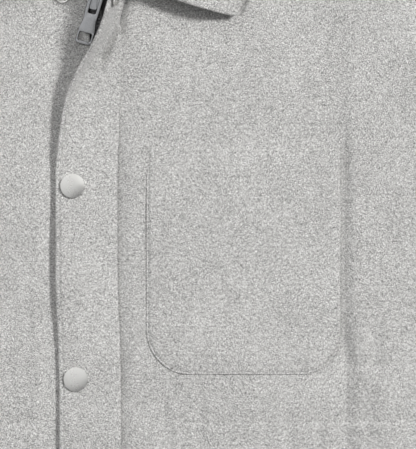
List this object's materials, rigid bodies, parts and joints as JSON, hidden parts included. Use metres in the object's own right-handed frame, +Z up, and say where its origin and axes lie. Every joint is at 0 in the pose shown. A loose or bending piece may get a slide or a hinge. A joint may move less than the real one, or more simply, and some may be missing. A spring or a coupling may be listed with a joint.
{
  "type": "shacket",
  "caption": "Long-sleeved wool shirt jacket laid flat: spread collar, chest patch pocket, and a zip under a flap that closes with press studs.",
  "frame": {"origin": "middle of the garment's outline, on the surface that it lies on", "axes": "+X towards the wearer's left sleeve, +Y up the body towards the collar, +Z up out of the front"},
  "size_m": [1.4838, 0.8226, 0.0536],
  "materials": {
    "flannel": "light grey brushed wool",
    "zip_tape": "dark woven tape",
    "zip_metal": "satin grey metal",
    "stud_metal": "satin silver metal"
  },
  "bodies": {
    "garment": {"back": "flannel", "front_left": "flannel", "front_right": "flannel", "sleeve_left": "flannel", "sleeve_right": "flannel", "placket": "flannel", "pocket": "flannel", "collar_stand": "flannel", "collar_leaf": "flannel", "zip_tape_left": "zip_tape", "zip_tape_right": "zip_tape", "zip_chain": "zip_metal", "slider": "zip_metal", "stud_cap_1": "stud_metal", "stud_cap_2": "stud_metal", "stud_cap_3": "stud_metal", "stud_cap_4": "stud_metal", "stud_cap_5": "stud_metal", "stud_cap_6": "stud_metal", "stud_post": "stud_metal"},
    "pull": {"zip_pull": "zip_metal"}
  },
  "joints": [
    {"name": "pull_hinge", "type": "hinge", "parent": "garment", "child": "pull", "pos_m": [0.01425, 0.23866, 0.0079], "axis": [-0.9603, 0.279, 0], "range_deg": [0, 60]}
  ]
}
